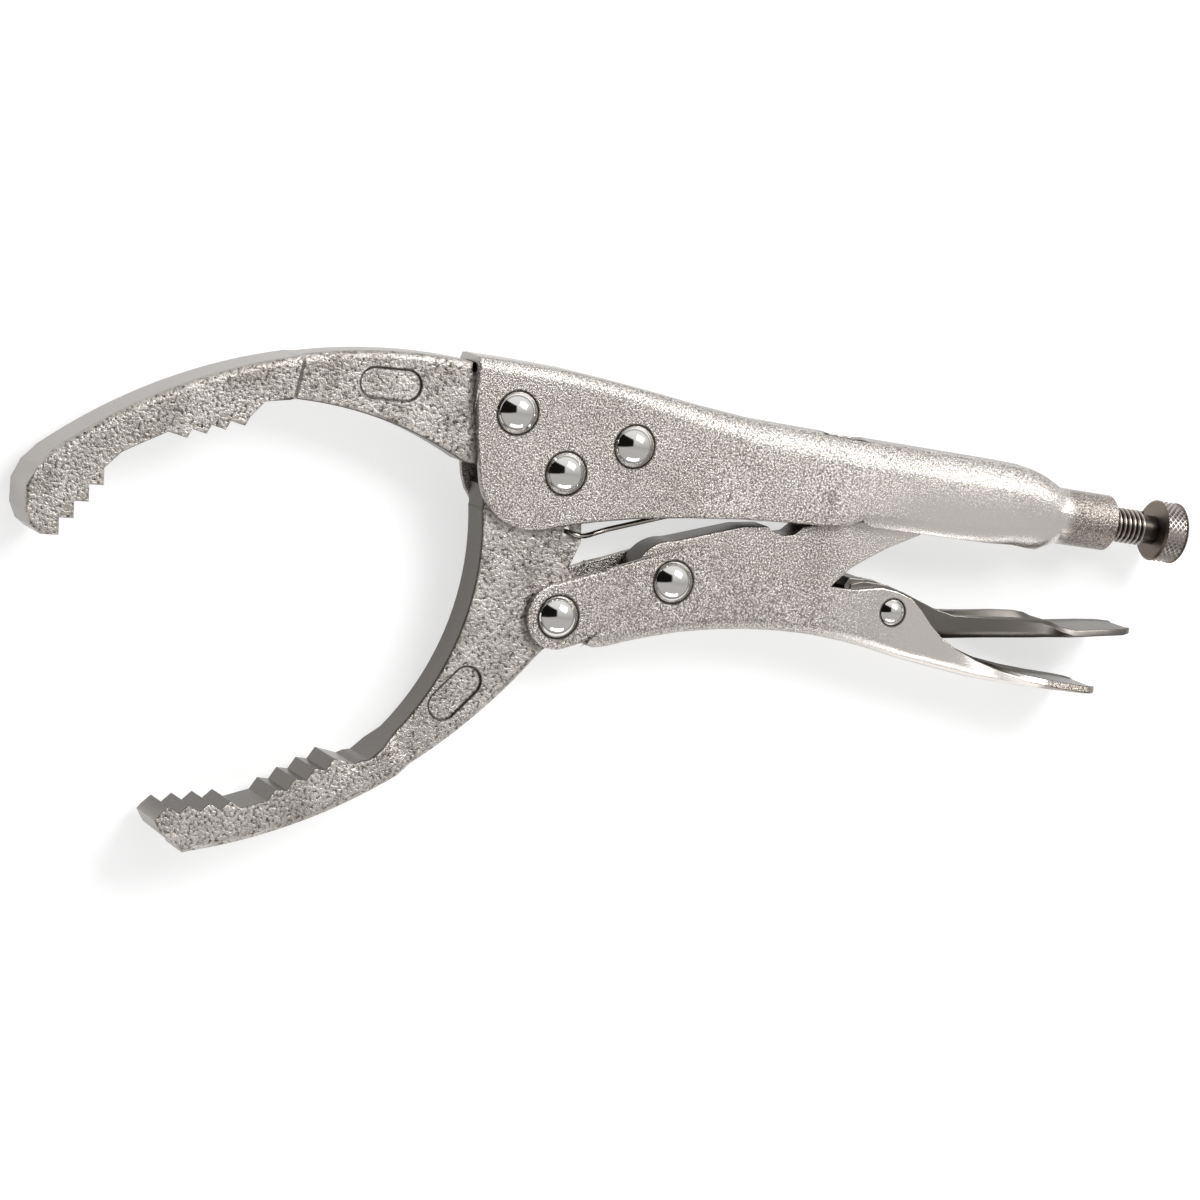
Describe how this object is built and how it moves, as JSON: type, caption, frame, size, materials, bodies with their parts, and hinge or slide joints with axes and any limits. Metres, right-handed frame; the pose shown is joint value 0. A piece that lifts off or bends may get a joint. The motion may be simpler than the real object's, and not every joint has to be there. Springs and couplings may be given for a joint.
{
  "type": "locking_pliers",
  "caption": "Locking oil-filter pliers with two large curved toothed jaws, pressed channel handles, toggle link, release lever, tension spring and knurled adjusting screw",
  "frame": {"origin": "centre of the cylinder the jaws grip, on the mid-plane of the plates", "axes": "+X along the adjusting screw towards its knob, +Y towards the upper handle, +Z square to the plates, up when the pliers lie on their side"},
  "size_m": [0.2743, 0.1134, 0.0186],
  "materials": {
    "forged_jaw": "satin nickel plate over a coarse forged skin",
    "pressed_handle": "satin nickel plate over blasted sheet",
    "lever_sheet": "satin nickel plated sheet, greyer on the paddle",
    "link_plate": "satin nickel plate over blasted plate",
    "rivet_steel": "polished nickel plated domes",
    "screw_steel": "dark oiled rolled thread",
    "knob_steel": "cross knurled, nickel plated",
    "spring_wire": "dark drawn wire"
  },
  "bodies": {
    "jaw_pivot_rivet": {"jaw_pivot_rivet": "rivet_steel"},
    "upper_handle": {"upper_handle": "pressed_handle", "fixed_jaw": "forged_jaw", "tang_front_rivet": "rivet_steel", "tang_rear_rivet": "rivet_steel"},
    "moving_jaw": {"moving_jaw": "forged_jaw", "tension_spring": "spring_wire"},
    "adjusting_screw": {"adjusting_screw": "screw_steel"},
    "adjusting_knob": {"adjusting_knob": "knob_steel"},
    "toggle_link": {"toggle_link": "link_plate"},
    "lower_handle": {"lower_handle": "pressed_handle", "lower_pivot_rivet": "rivet_steel", "link_pivot_rivet": "rivet_steel", "lever_rivet": "rivet_steel"},
    "release_lever": {"release_lever": "lever_sheet"}
  },
  "joints": [
    {"name": "jaw_setting", "type": "hinge", "parent": "jaw_pivot_rivet", "child": "upper_handle", "pos_m": [0.073, 0.042, 0], "axis": [0, 0, -1], "range_deg": [-17.52, 7.67]},
    {"name": "jaw_swing", "type": "hinge", "parent": "jaw_pivot_rivet", "child": "moving_jaw", "pos_m": [0.073, 0.042, 0], "axis": [0, 0, 1], "range_deg": [0, 8.27], "deforming": ["tension_spring"]},
    {"name": "screw_travel", "type": "slide", "parent": "upper_handle", "child": "adjusting_screw", "axis": [1, 0, 0], "range_m": [-0.01, 0.00438]},
    {"name": "knob_turn", "type": "hinge", "parent": "adjusting_screw", "child": "adjusting_knob", "pos_m": [0.2263, 0.0489, 0], "axis": [1, 0, 0], "range_deg": [-2880, 1260]},
    {"name": "link_swing", "type": "hinge", "parent": "adjusting_screw", "child": "toggle_link", "pos_m": [0.168, 0.049, 0], "axis": [0, 0, 1], "range_deg": [0, 12.03]},
    {"name": "handle_open", "type": "hinge", "parent": "toggle_link", "child": "lower_handle", "pos_m": [0.103, 0.022, 0], "axis": [0, 0, -1], "range_deg": [0, 42]},
    {"name": "lever_squeeze", "type": "hinge", "parent": "lower_handle", "child": "release_lever", "pos_m": [0.1577, 0.0222, 0], "axis": [0, 0, -1], "range_deg": [0, 5]}
  ],
  "couplings": [
    {"joint": "jaw_setting", "follows": "screw_travel", "rad_per_m": 30.578},
    {"joint": "knob_turn", "follows": "screw_travel", "rad_per_m": 5026.5},
    {"joint": "jaw_swing", "follows": "handle_open", "ratio": 0.197},
    {"joint": "link_swing", "follows": "handle_open", "ratio": 0.2864}
  ]
}
